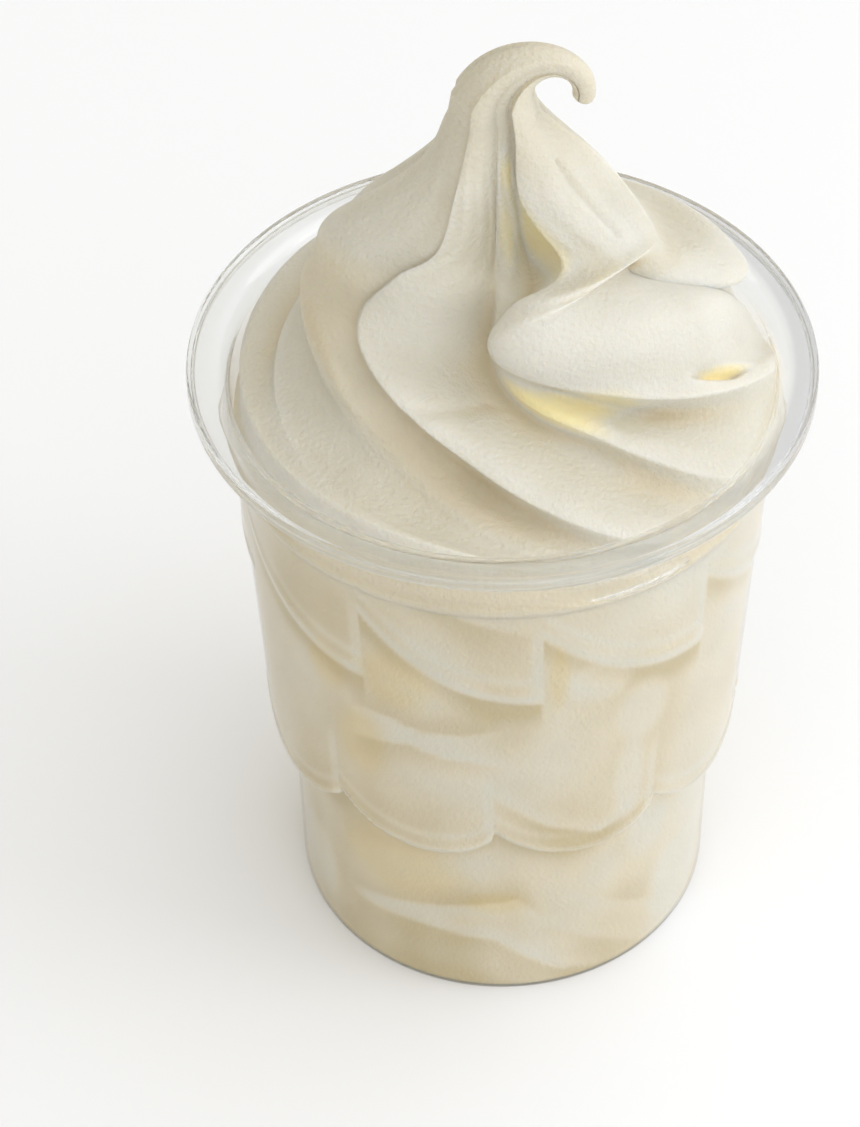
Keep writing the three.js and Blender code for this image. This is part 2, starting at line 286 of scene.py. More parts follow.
# Painted highlight bars beside the petals' seams: shares of a petal between which they begin, and heights
# above its edge
SEAM_HIGHLIGHT = 0.16
SEAM_SHARES = (0.92, 0.95)
SEAM_BEGIN = (0, 1)
SEAM_END = (16, 10)
# How much paler the right side is than the middle, in painted light from the right, and the left as much
# darker
SIDE_LIGHT = 0.05
# How much deeper the painted shade at the foot makes the tone
FOOT_SHADE_DEEP = 0.2
# Heights between which the foot's shade deepens, and azimuths between which it fades out and comes back
FOOT_SHADE = (9, 1)
FOOT_LIT = (290, 312, 328, 342)
# Random patches and upright bars
PATCH_DEEP = 0.28
PATCH_SIZE = 14.0
BAR_DEEP = 0.12
BAR_WIDTH = 5.0
BAR_LENGTH = 18.0

# Colours of the plastic, clear and with a painted dark reflection, of the soft serve's faint clouds, and of
# the floor
PLASTIC_COLOURS = [
    (0, (0.97, 0.98, 0.97)),
    (1, (0.7, 0.71, 0.72)),
]
CLOUD_COLOURS = [
    (0.3, (0.93, 0.925, 0.9)),
    (0.7, (1, 1, 1)),
]
FLOOR_COLOUR = (0.92, 0.94, 0.98)

# Fineness of the meshes: columns, rows, and the steps between rows where they are close and where far apart
SEAM_COLUMNS = 7
PETAL_COLUMNS = 24
OUTSIDE_STEPS = (0.6, 2.4)
INSIDE_STEPS = (0.8, 3.0)
FILL_STEPS = (0.5, 0.7)
EDGE_MARGIN = 3
FLARE_ROWS = 8
LIP_ROWS = (5, 9, 6)
FOOT_ROWS = (9, 7)
# Angle at which the foot's corner ends below the wall
CORNER_END = -8
# Rings of the flat ends, as shares of the radius
BASE_SHARES = (0.3, 0.7)
FILL_BASE_SHARES = (0.4, 0.75, 0.97)
CAP_SHARES = (0.97, 0.6)
BAND_ROWS = 4
FOLD_COLUMNS = 40
SWIRL_COLUMNS = len(FOLDS) * FOLD_COLUMNS
SWIRL_ROWS = 210
HOOK_ROWS = 36
SWIRL_PLACES = np.arange(SWIRL_COLUMNS) * len(FOLDS) / SWIRL_COLUMNS
SWIRL_RISES = np.linspace(0, len(GROOVE_DEPTH) - 1, SWIRL_ROWS)

# The photograph's camera, in its pixels and the part's millimetres
PHOTO_WIDTH = 860
PHOTO_HEIGHT = 1127
FOCAL_PIXELS = 3208
AXIS_PIXEL = 502.5
CAMERA_BACK = 295.7
CAMERA_HEIGHT = 356.0
CAMERA_PITCH = 45.52
SENSOR_SIZE = 36

# Studio. The dome of light is coloured by how far a direction is turned to its centre, from 0 to 1.
FLOOR_HALF = 3000
DOME_CENTRE = (0.64, -0.38, 0.665)
DOME_STRENGTH = 1.36
DOME_COLOURS = [
    (0, (0.12, 0.105, 0.075)),
    (0.5, (0.46, 0.422, 0.325)),
    (0.8, (0.86, 0.857, 0.855)),
    (1, (1, 1, 1)),
]
KEY_PLACE = (500, -100, 320)
KEY_AIM = (0, 0, 90)
KEY_SIZE = 250
KEY_POWER = 0.6


# Shared shapes

def smooth_step(low, high, value):
    share = np.clip((value - low) / (high - low), 0, 1)
    return share * share * (3 - 2 * share)


def bell(value):
    return np.exp(-(value ** 2))


def between(low, high, share):
    return low + (high - low) * share


def polar(azimuth, radius, height):
    angle = np.radians(azimuth)
    return np.stack(np.broadcast_arrays(radius * np.cos(angle), radius * np.sin(angle), height), axis=-1)


def curve_through(points, places):
    """Points of a smooth curve through equally spaced points, at places from 0 to their number less one."""
    points = np.asarray(points, float)
    places = np.asarray(places, float)
    low = np.clip(np.floor(places).astype(int), 0, len(points) - 2)
    padded = np.concatenate([[2 * points[0] - points[1]], points, [2 * points[-1] - points[-2]]])
    before, start, end, after = (padded[low + step] for step in range(4))
    t = (places - low).reshape((-1,) + (1,) * (points.ndim - 1))
    cubic = 3 * (start - end) + after - before
    square = 2 * before - 5 * start + 4 * end - after
    return start + 0.5 * t * (end - before + t * (square + t * cubic))


def ring_through(ridges, places):
    """Rings through the folds' ridges. Close neighbours pull less on the curve than far ones, so that ridges
    stay crisp."""
    gaps = np.linalg.norm(np.diff(ridges, axis=0), axis=-1, keepdims=True) ** 0.5
    low = np.floor(places).astype(int)
    before, start, end, after = (ridges[low + step] for step in (-1, 0, 1, 2))
    gap_before, gap, gap_after = (gaps[low + step] for step in (-1, 0, 1))
    leaving = (start - before) / gap_before - (end - before) / (gap_before + gap) + (end - start) / gap
    arriving = (end - start) / gap - (after - start) / (gap + gap_after) + (after - end) / gap_after
    t = (places - low)[:, None, None]
    rest = 1 - t
    return (
        start * rest * rest * (1 + 2 * t)
        + end * t * t * (3 - 2 * t)
        + gap * (leaving * t * rest * rest - arriving * t * t * rest)
    )


def grid_mesh(name, rings, material, **kept):
    """A closed mesh through rings of equally many points, with a fan over the first and the last ring.
    The values kept on the points are for the material."""
    rings = np.asarray(rings, float)
    rows, columns = rings.shape[:2]
    points = np.concatenate([rings.reshape(-1, 3), [rings[0].mean(axis=0)], [rings[-1].mean(axis=0)]]) * MM
    here = np.arange(columns)
    after = (here + 1) % columns
    faces = []
    for row in range(rows - 1):
        low = row * columns
        high = low + columns
        faces.append(np.stack([low + here, low + after, high + after, high + here], axis=1))
    quads = np.concatenate(faces)
    last = (rows - 1) * columns
    bottom = np.stack([after, here, np.full(columns, rows * columns)], axis=1)
    top = np.stack([last + here, last + after, np.full(columns, rows * columns + 1)], axis=1)
    mesh = bpy.data.meshes.new(name)
    mesh.from_pydata(points.tolist(), [], quads.tolist() + bottom.tolist() + top.tolist())
    mesh.shade_smooth()
    mesh.materials.append(material)
    for attribute, values in kept.items():
        values = np.asarray(values, float)
        values = np.concatenate([values.ravel(), [values[0].mean()], [values[-1].mean()]])
        mesh.attributes.new(attribute, "FLOAT", "POINT").data.foreach_set("value", values)
    piece = bpy.data.objects.new(name, mesh)
    bpy.context.scene.collection.objects.link(piece)
    return piece


# Cup

def petal_share(azimuth, seam):
    return np.mod(azimuth - seam, PETAL_ANGLE) / PETAL_ANGLE


def lower_edge(share):
    return LOWER_EDGE + LOWER_RISE * (1 - share) ** 4 + LOWER_LIFT * share ** 6


def upper_edge(share):
    return UPPER_EDGE + UPPER_RISE * (1 - share) ** 2


def by_petal(azimuth, seam, edge, shape):
    """A shape that follows the height of a petal's lower edge. At a seam it changes to the next petal's."""
    share = petal_share(azimuth, seam)
    past_seam = np.where(share > 0.5, share - 1, share)
    before = shape(edge(np.where(past_seam < 0, share, 1)))
    after = shape(edge(np.where(past_seam < 0, 0, share)))
    half = SEAM_HALF / PETAL_ANGLE
    return between(before, after, smooth_step(-half, half, past_seam))


def crown(azimuth, seam):
    """What a petal's crown adds to the radius: nothing in its middle, and less than 0 towards its seams."""
    return PETAL_CROWN * (np.sin(math.pi * petal_share(azimuth, seam)) - 1)


def cone_radius(height):
    return CONE_RADIUS - CONE_TAPER * (CUP_HEIGHT - height)


def wall_radius(azimuth, height):
    """Radius of the wall's outside."""

    def above(edge):
        return smooth_step(edge - EDGE_HALF, edge + EDGE_HALF, height)

    def rim(edge):
        return PETAL_RIM * bell((height - edge - RIM_ABOVE) / RIM_HALF)

    above_low = by_petal(azimuth, LOWER_SEAM, lower_edge, above)
    above_high = by_petal(azimuth, UPPER_SEAM, upper_edge, above)
    foot = FOOT_RADIUS + FOOT_TAPER * height
    cone = cone_radius(height)
    lower = cone - UPPER_STEP + crown(azimuth, LOWER_SEAM)
    upper = cone + crown(azimuth, UPPER_SEAM)
    petals = between(lower, upper, above_high)
    petals = petals + by_petal(azimuth, LOWER_SEAM, lower_edge, rim)
    petals = petals + by_petal(azimuth, UPPER_SEAM, upper_edge, rim)
    under_bead = 1 - smooth_step(BEAD_HEIGHT - PETAL_FADE, BEAD_HEIGHT - BEAD_HALF, height)
    petals = between(cone, petals, under_bead)
    bead = BEAD_SIZE * np.cos(math.pi / 2 * np.clip((height - BEAD_HEIGHT) / BEAD_HALF, -1, 1)) ** 2
    return between(foot, petals, above_low) + bead


def wall_heights(fine, coarse):
    """Heights of the wall's rows, close together where the petals end and at the bead."""
    lower_start = LOWER_EDGE - EDGE_MARGIN
    lower_end = LOWER_EDGE + LOWER_RISE + EDGE_MARGIN
    upper_start = UPPER_EDGE - EDGE_MARGIN
    upper_end = UPPER_EDGE + UPPER_RISE + EDGE_MARGIN
    bead_end = BEAD_HEIGHT + 2 * BEAD_HALF
    lip_start = CUP_HEIGHT - LIP_SHEET - LIP_DROP
    bands = [
        (FOOT_CORNER, lower_start, coarse),
        (lower_start, lower_end, fine),
        (lower_end, upper_start, coarse),
        (upper_start, upper_end, fine),
        (upper_end, bead_end, fine / 2),
        (bead_end, lip_start, coarse),
    ]
    heights = []
    for low, high, step in bands:
        heights.extend(np.linspace(low, high, max(2, round((high - low) / step)), endpoint=False))
    return heights + [lip_start]


def arc(middle_radius, middle_height, radius, from_angle, to_angle, steps):
    """Radii and heights along an arc in a section of the cup."""
    angles = np.radians(np.linspace(from_angle, to_angle, steps))
    return list(zip(middle_radius + radius * np.cos(angles), middle_height + radius * np.sin(angles)))


def flare(start_radius, start_height, width, rise):
    """Radii and heights where the wall bends out into the lip."""
    angles = np.linspace(0, math.pi / 2, FLARE_ROWS + 1)[1:]
    return list(zip(start_radius + width * (1 - np.cos(angles)), start_height + rise * np.sin(angles)))


def lip_section():
    """Radii and heights from the wall's outside, round the lip, to the wall's inside."""
    under = CUP_HEIGHT - LIP_SHEET
    start = under - LIP_DROP
    outside = float(wall_radius(0.0, start))
    inside = outside - WALL
    half = LIP_SHEET / 2
    width = RIM_RADIUS - LIP_WIDTH + half - outside
    under_rows, edge_rows, over_rows = LIP_ROWS
    points = flare(outside, start, width, LIP_DROP)
    points += arc(RIM_RADIUS - LIP_SHEET - LIP_CORNER, under - LIP_CORNER, LIP_CORNER, 90, 0, under_rows)
    points += arc(RIM_RADIUS - half, CUP_HEIGHT - LIP_DROP + half, half, 180, 360, edge_rows)
    points += arc(RIM_RADIUS - LIP_CORNER, CUP_HEIGHT - LIP_CORNER, LIP_CORNER, 0, 90, over_rows)
    points += flare(inside, start, width + WALL - LIP_INSET, CUP_HEIGHT - start)[::-1]
    points.append((inside, start))
    return points


def petal_azimuths():
    """Azimuths of the wall's columns, close together at the seams of both petal rows."""
    bands = [
        (-SEAM_HALF, SEAM_HALF, SEAM_COLUMNS),
        (SEAM_HALF, SEAM_SHIFT - SEAM_HALF, SEAM_COLUMNS),
        (SEAM_SHIFT - SEAM_HALF, SEAM_SHIFT + SEAM_HALF, SEAM_COLUMNS),
        (SEAM_SHIFT + SEAM_HALF, PETAL_ANGLE - SEAM_HALF, PETAL_COLUMNS),
    ]
    across = np.concatenate([np.linspace(low, high, steps, endpoint=False) for low, high, steps in bands])
    return np.concatenate([LOWER_SEAM + petal * PETAL_ANGLE + across for petal in range(PETALS)])


def lip_shade(rings):
    """How strong the painted dark reflection on the plastic is: in the lip, and more so to the right."""
    past_lip = np.hypot(rings[..., 0], rings[..., 1]) - RIM_RADIUS + LIP_WIDTH
    to_right = (1 + rings[..., 0] / RIM_RADIUS) / 2
    return smooth_step(-LIP_BLEND, LIP_BLEND, past_lip) * to_right


def make_cup(material):
    azimuths = petal_azimuths()
    base_radius = FOOT_RADIUS - FOOT_CORNER
    inner_corner = FOOT_CORNER - FLOOR
    under_rows, over_rows = FOOT_ROWS
    under = [(share * base_radius, 0) for share in BASE_SHARES]
    under += arc(base_radius, FOOT_CORNER, FOOT_CORNER, -90, CORNER_END, under_rows)
    over = arc(FOOT_RADIUS - WALL - inner_corner, FOOT_CORNER, inner_corner, CORNER_END, -90, over_rows)
    over += [(share * base_radius, FLOOR) for share in BASE_SHARES[::-1]]
    outside = wall_heights(*OUTSIDE_STEPS)
    inside = wall_heights(*INSIDE_STEPS)[-2::-1]
    rings = [polar(azimuths, radius, height) for radius, height in under]
    rings += [polar(azimuths, wall_radius(azimuths, height), height) for height in outside]
    rings += [polar(azimuths, radius, height) for radius, height in lip_section()]
    rings += [polar(azimuths, wall_radius(azimuths, height) - WALL, height) for height in inside]
    rings += [polar(azimuths, radius, height) for radius, height in over]
    rings = np.array(rings)
    return grid_mesh("clear_cup", rings, material, shade=lip_shade(rings))


# Swirl of soft serve

def fold_stations(fold):
    """Azimuth, radius and height of a fold's ridge at each station from the wall to the top."""
    rim_azimuth, rim_height = fold["rim"]
    peak_azimuth, peak_radius = fold["peak"]
    lobe = np.array(fold["lobe"], float)
    neck = np.array(fold["neck"], float)
    shoulder = fold.get("shoulder") or (
        between(neck[0], lobe[0], SHOULDER_TURN),
        between(neck[1], lobe[1], SHOULDER_REACH),
        (neck[2] + lobe[2]) / 2 + SHOULDER_LIFT,
    )
    wall_height = rim_height - WALL_DROP
    in_wall = cone_radius(wall_height) - INSET
    hollow = TOP_HOLLOW if peak_radius < HOLLOW_UNDER else 1
    top_radius = (TOP_RADIUS - TOP_LEAN * math.cos(math.radians(peak_azimuth))) * hollow
    return [
        (rim_azimuth + WALL_TURN, in_wall, wall_height),
        (rim_azimuth, RIDGE_RADIUS, rim_height),
        fold["coil"],
        lobe,
        shoulder,
        neck,
        (peak_azimuth, peak_radius, PEAK_HEIGHT),
        (peak_azimuth, top_radius, TOP_HEIGHT),
    ]


def fold_grooves(fold):
    rim, coil, lobe, neck, peak = fold["groove"]
    return [rim, rim, coil, lobe, (lobe + neck) / 2, neck, peak, peak]


def past_place(place):
    """How far the swirl's columns lie past a place among the folds, the shorter way round."""
    half = len(FOLDS) / 2
    return np.mod(SWIRL_PLACES - place + half, len(FOLDS)) - half


def streak_depth():
    """Depth of the streaks that the nozzle leaves along the folds, deepest on the peak beside the hollow."""
    place = SWIRL_PLACES[:, None]
    waver = STREAK_WAVER * np.sin(STREAK_WAVES * SWIRL_RISES + place)
    wave = np.sin(2 * math.pi * (STREAKS * place + waver))
    begin, deepest, fade, end = STREAK_RISES
    up_peak = smooth_step(begin, deepest, SWIRL_RISES) * smooth_step(end, fade, SWIRL_RISES)
    beside_hollow = smooth_step(STREAK_FAR, STREAK_NEAR, abs(place - STREAK_PLACE))
    all_over, on_peak, by_hollow = STREAK_SHARES
    return STREAK_DEPTH * wave * (all_over + up_peak * (on_peak + by_hollow * beside_hollow))


def line_depth():
    """Depth of the single lines drawn across the swirl's surface."""
    depth = np.zeros((SWIRL_COLUMNS, SWIRL_ROWS))
    for from_place, from_rise, to_place, to_rise, half, deep in LINES:
        run = to_place - from_place
        climb = to_rise - from_rise
        past = past_place(from_place)[:, None]
        above = SWIRL_RISES - from_rise
        along = np.clip((past * run + above * climb) / (run ** 2 + climb ** 2), 0, 1)
        off = np.hypot(past - along * run, above - along * climb)
        depth += deep * bell(off / half)
    return depth


def swirl_rings():
    """Rings of the swirl from the wall to the top of the peak."""
    count = len(FOLDS)
    ridges = np.array([curve_through(fold_stations(fold), SWIRL_RISES) for fold in FOLDS])
    grooves = np.array([curve_through(fold_grooves(fold), SWIRL_RISES) for fold in FOLDS])
    depth = curve_through(GROOVE_DEPTH, SWIRL_RISES)
    tilt = np.radians(curve_through(SURFACE_TILT, SWIRL_RISES))
    before = 2
    around = [ridges[k % count] + (360 * (k // count), 0, 0) for k in range(-before, count + before + 1)]
    surface = ring_through(np.array(around), SWIRL_PLACES + before)
    fold = np.floor(SWIRL_PLACES).astype(int)
    own_side = np.array([FOLDS[k].get("own_side", False) for k in fold])
    share = np.where(own_side, 1 - SWIRL_PLACES + fold, SWIRL_PLACES - fold)
    valley = np.sin(math.pi * share ** GROOVE_SKEW)
    cut = depth * grooves[fold] * valley[:, None]
    lean = np.where(own_side, -1, 1)[:, None] * np.maximum(cut, 0) * GROOVE_LEAN
    cut = cut + line_depth() + streak_depth()
    rings = polar(
        surface[..., 0] + np.degrees(lean / surface[..., 1]),
        surface[..., 1] - cut * np.cos(tilt),
        surface[..., 2] - cut * np.sin(tilt),
    )
    return soft_rings(rings.transpose(1, 0, 2))


def neighbour_mean(rings, columns, rows):
    """The mean of the points up to some columns and rows away from each point of a grid of rings."""
    total = sum(np.roll(rings, step, axis=1) for step in range(-columns, columns + 1))
    padded = np.pad(total, ((rows, rows), (0, 0), (0, 0)), mode="edge")
    total = sum(padded[step:step + len(rings)] for step in range(2 * rows + 1))
    return total / (2 * columns + 1) / (2 * rows + 1)


def from_spot(place, rise, half_place, half_rise):
    """How far the swirl's points are from a spot's middle, as a share of its half sizes."""
    return np.hypot(past_place(place) / half_place, (SWIRL_RISES[:, None] - rise) / half_rise)


def soft_rings(rings):
    """Rings whose creases are rounded off at the soft spots."""
    mean = neighbour_mean(rings, SOFT_COLUMNS, SOFT_ROWS)
    for spot in SOFT_SPOTS:
        rings = between(rings, mean, smooth_step(1, SOFT_CORE, from_spot(*spot))[..., None])
    return rings


def hollow_depth(rings):
    """How deep each point of a grid of rings lies below its neighbours."""
    around = np.roll(rings, -1, axis=1) - np.roll(rings, 1, axis=1)
    outward = np.cross(around, np.gradient(rings, axis=0))
    outward = outward / np.linalg.norm(outward, axis=-1, keepdims=True)
    return np.sum((neighbour_mean(rings, HOLLOW_COLUMNS, HOLLOW_ROWS) - rings) * outward, axis=-1)


def hook_rings(last_ring):
    """Rings of the hooked tip. The folds of the last swirl ring fade out along it."""
    arms = last_ring - last_ring.mean(axis=0)
    lengths = np.hypot(arms[:, 0], arms[:, 1])
    sideways = np.array([0, 1, 0])
    rings = []
    for along in np.linspace(0, 1, HOOK_ROWS + 1):
        angle = math.pi - along * math.radians(HOOK_TURN)
        size = HOOK_END + (HOOK_START - HOOK_END) * (1 - along) ** HOOK_TAPER
        inward = np.array([-math.cos(angle), 0, -math.sin(angle)])
        centre = np.array([HOLE_X, 0, HOLE_HEIGHT]) - inward * (HOLE_RADIUS + size)
        end_share = max(0, (along - 1 + HOOK_CAP) / HOOK_CAP)
        cap = max(HOOK_POINT, math.sqrt(1 - end_share ** 2))
        fade = max(0, 1 - HOOK_FADE * along)
        radius = size * cap * (1 + (lengths / lengths.mean() - 1) * fade) / lengths
        spokes = np.outer(radius * arms[:, 0], inward) + np.outer(radius * arms[:, 1], sideways)
        rings.append(centre + spokes)
    return rings


def swirl_tones(rings):
    """Tones of the swirl: painted warm shade in hollows, painted highlights on crests, painted light and
    shade at spots.
    """
    depth = hollow_depth(rings)
    tones = between(TONE_PALE, TONE_HOLLOW_SHADE, np.clip(depth / HOLLOW_SHADE_FULL, 0, 1))
    tones = between(tones, TONE_CREST_HIGHLIGHT, np.clip(-depth / CREST_HIGHLIGHT_FULL, 0, 1))
    for *spot, tone, strength in SWIRL_PAINTED_LIGHT_SPOTS:
        tones = between(tones, tone, strength * smooth_step(1, SWIRL_PAINTED_LIGHT_CORE, from_spot(*spot)))
    rises = SWIRL_RISES[:, None]
    tones = between(tones, TONE_TIP_SHADE, smooth_step(*TIP_RISES, rises))
    return between(tones, TONE_BEHIND, smooth_step(*WALL_RISES, rises))


def make_swirl(material):
    """The swirl, from behind the wall, where the filling ends. Its plain underside is in the filling."""
    swirl = swirl_rings()
    first = swirl[0]
    azimuth = np.degrees(np.arctan2(first[:, 1], first[:, 0]))
    start_radius = wall_radius(azimuth, SWIRL_START) - INSET
    rings = [polar(azimuth, share * start_radius, SWIRL_START - OVERLAP) for share in CAP_SHARES[::-1]]
    for row in range(BAND_ROWS):
        height = between(SWIRL_START, first[:, 2], row / BAND_ROWS)
        rings.append(polar(azimuth, wall_radius(azimuth, height) - INSET, height))
    behind = np.full((len(rings), SWIRL_COLUMNS), TONE_BEHIND)
    hook = hook_rings(swirl[-1])
    # The hooked tip gets the tip's painted shade all over
    tip_shade = np.full((len(hook), SWIRL_COLUMNS), TONE_TIP_SHADE)
    tones = np.concatenate([behind, swirl_tones(swirl), tip_shade])
    return grid_mesh("swirled_soft_serve", [*rings, *swirl, *hook], material, tone=tones)


# Filling of soft serve

def fill_place(azimuth):
    """The azimuth in the first of the turns that repeat round the cup."""
    return FILL_START + np.mod(azimuth - FILL_START, FILL_TURN)


def from_fill_spot(azimuth, height, spot):
    """How far a point of the filling is from a spot's middle, as a share of the spot's half sizes."""
    middle_azimuth, middle_height, half_azimuth, half_height = spot
    past = fill_place(azimuth) - middle_azimuth
    return np.hypot(past / half_azimuth, (height - middle_height) / half_height)


def beside_line(past, reach):
    """A band on one side of a line, full beside it and faded out at its reach."""
    return smooth_step(LINE_BEGIN, LINE_FULL, past) * smooth_step(reach, LINE_FADE, past)


def line_tone(azimuth, height):
    """How much deeper the edges of the folds make the tone: painted shade on one side, a painted highlight
    on the other.
    """
    place = fill_place(azimuth)
    deeper = np.zeros_like(azimuth)
    for side, strength, line in FILL_LINES:
        azimuths, heights = np.array(line, float).T
        past = side * (height - np.interp(place, azimuths, heights))
        along = np.clip((place - azimuths[0]) / (azimuths[-1] - azimuths[0]), 0, 1)
        # Painted shade on one side of the line, and a painted highlight on the other
        deep = LINE_SHADE * beside_line(past, LINE_SHADE_REACH)
        painted_highlight = LINE_HIGHLIGHT * beside_line(-past, LINE_HIGHLIGHT_REACH)
        deeper = deeper + strength * np.sin(math.pi * along) ** 0.5 * (deep - painted_highlight)
    return deeper


def highlight_spot_tone(azimuth, height):
    """How much deeper the painted highlight spots make the tone, which is less than zero."""
    spots = [smooth_step(1, HIGHLIGHT_SPOT_CORE, from_fill_spot(azimuth, height, spot)) for spot in HIGHLIGHT_SPOTS]
    return -SPOT_HIGHLIGHT * sum(spots)


def foot_tone(azimuth, height):
    """How much deeper the shade at the foot makes the tone."""
    fade_start, lit_start, lit_end, fade_end = FOOT_LIT
    place = fill_place(azimuth)
    lit = smooth_step(fade_start, lit_start, place) * smooth_step(fade_end, lit_end, place)
    return FOOT_SHADE_DEEP * (1 - lit) * smooth_step(*FOOT_SHADE, height)


def edge_tone(above):
    """How much deeper a petal's edge makes the tone at a height above it: painted highlight lines, and
    painted shade below.
    """
    painted_highlight = sum(strength * bell((above - middle) / half) for middle, half, strength in EDGE_HIGHLIGHT_LINES)
    deep = smooth_step(EDGE_BEGIN, EDGE_FULL, above) * smooth_step(EDGE_SHADE, EDGE_FULL, above)
    return EDGE_DEEP * deep - EDGE_HIGHLIGHT * painted_highlight


def seam_highlight_tone(above, share):
    """How much deeper a painted highlight bar beside a petal's seam makes the tone, which is less than zero.
    """
    beside_seam = smooth_step(*SEAM_SHARES, share)
    return -SEAM_HIGHLIGHT * beside_seam * smooth_step(*SEAM_BEGIN, above) * smooth_step(*SEAM_END, above)


def cloud_tone(azimuth, height):
    """How much deeper patches and upright bars make the tone, at random but the same in every run."""
    deeper = []
    for x, y, z in polar(azimuth, FOOT_RADIUS, height):
        patch = noise.noise(Vector((x, y, z)) / PATCH_SIZE)
        bar = noise.noise((x / BAR_WIDTH, y / BAR_WIDTH, z / BAR_LENGTH))
        deeper.append(PATCH_DEEP * patch + BAR_DEEP * bar)
    return np.array(deeper)


def fill_tone(azimuth, height):
    """Tone of the soft serve behind the wall, with painted shade, painted highlights and painted light on
    the right.
    """
    tone = TONE_BEHIND + line_tone(azimuth, height) + highlight_spot_tone(azimuth, height) + foot_tone(azimuth, height)
    tone = tone + cloud_tone(azimuth, height) - SIDE_LIGHT * np.cos(np.radians(azimuth))
    for seam, edge in ((LOWER_SEAM, lower_edge), (UPPER_SEAM, upper_edge)):
        share = petal_share(azimuth, seam)
        tone = tone + by_petal(azimuth, seam, edge, lambda level: edge_tone(height - level))
        tone = tone + seam_highlight_tone(height - edge(share), share)
    return np.clip(tone, TONE_PALE, 1)


def fill_amber(azimuth, height):
    """How amber the soft serve behind the wall is."""
    spots = [smooth_step(1, AMBER_SPOT_CORE, from_fill_spot(azimuth, height, spot)) for spot in AMBER_SPOTS]
    return np.max(spots, axis=0)


def make_fill(material):
    """The soft serve behind the wall, from the floor up to where the swirl begins."""
    azimuth = petal_azimuths()
    base = FLOOR - REACH
    rings = [polar(azimuth, share * (FOOT_RADIUS - FOOT_CORNER), base) for share in FILL_BASE_SHARES]
    tones = [fill_tone(azimuth, np.full_like(azimuth, base)) for _ in rings]
    ambers = [np.zeros_like(azimuth) for _ in rings]
    levels = [level for level in wall_heights(*FILL_STEPS) if level < SWIRL_START]
    for level in levels + [SWIRL_START]:
        height = np.full_like(azimuth, level)
        rings.append(polar(azimuth, wall_radius(azimuth, height) - INSET, height))
        tones.append(fill_tone(azimuth, height))
        ambers.append(fill_amber(azimuth, height))
    top_radius = wall_radius(azimuth, SWIRL_START) - INSET
    for share in CAP_SHARES:
        rings.append(polar(azimuth, share * top_radius, SWIRL_START + OVERLAP))
        tones.append(tones[-1])
        ambers.append(ambers[-1])
    return grid_mesh("soft_serve_in_cup", rings, material, tone=tones, amber=ambers)


# Materials

def new_material(name):
    material = bpy.data.materials.new(name)
    material.use_nodes = True
    return material, material.node_tree, material.node_tree.nodes["Principled BSDF"]


def attribute_value(tree, name):
    attribute = tree.nodes.new("ShaderNodeAttribute")
    attribute.attribute_name = name
    return attribute.outputs["Fac"]


def noise_value(tree, scale, detail):
    place = tree.nodes.new("ShaderNodeTexCoord")
    texture = tree.nodes.new("ShaderNodeTexNoise")
    texture.inputs["Scale"].default_value = scale
    texture.inputs["Detail"].default_value = detail
    tree.links.new(place.outputs["Object"], texture.inputs["Vector"])
    return texture.outputs["Fac"]


def ramp_colour(tree, value, colours):
    """The colour that a ramp gives a value. The first and the last colour are at its ends."""
    ramp = tree.nodes.new("ShaderNodeValToRGB")
    stops = ramp.color_ramp.elements
    for stop, (position, colour) in zip(stops, (colours[0], colours[-1])):
        stop.position = position
        stop.color = (*colour, 1)
    for position, colour in colours[1:-1]:
        stops.new(position).color = (*colour, 1)
    tree.links.new(value, ramp.inputs["Fac"])
    return ramp.outputs["Color"]


def multiplied(tree, colour):
    """A node that multiplies a colour by a second one."""
    multiply = tree.nodes.new("ShaderNodeMixRGB")
    multiply.blend_type = "MULTIPLY"
    tree.links.new(colour, multiply.inputs["Color1"])
    return multiply


def clear_plastic():
    """Clear plastic. Light that falls through it to the soft serve isn't held back."""
    material, tree, shader = new_material("clear_plastic")
    # The plastic is tinted grey where a dark reflection is painted on it
    tint = ramp_colour(tree, attribute_value(tree, "shade"), PLASTIC_COLOURS)
    tree.links.new(tint, shader.inputs["Base Color"])
    shader.inputs["Roughness"].default_value = 0.04
    shader.inputs["IOR"].default_value = 1.5
    shader.inputs["Transmission Weight"].default_value = 1.0
    shader.inputs["Alpha"].default_value = 0.85
    ray = tree.nodes.new("ShaderNodeLightPath")
    soft_ray = tree.nodes.new("ShaderNodeMath")
    soft_ray.operation = "MAXIMUM"
    tree.links.new(ray.outputs["Is Shadow Ray"], soft_ray.inputs[0])
    tree.links.new(ray.outputs["Is Diffuse Ray"], soft_ray.inputs[1])
    clear = tree.nodes.new("ShaderNodeBsdfTransparent")
    mix = tree.nodes.new("ShaderNodeMixShader")
    tree.links.new(soft_ray.outputs["Value"], mix.inputs["Fac"])
    tree.links.new(shader.outputs["BSDF"], mix.inputs[1])
    tree.links.new(clear.outputs["BSDF"], mix.inputs[2])
    tree.links.new(mix.outputs["Shader"], tree.nodes["Material Output"].inputs["Surface"])
    return material


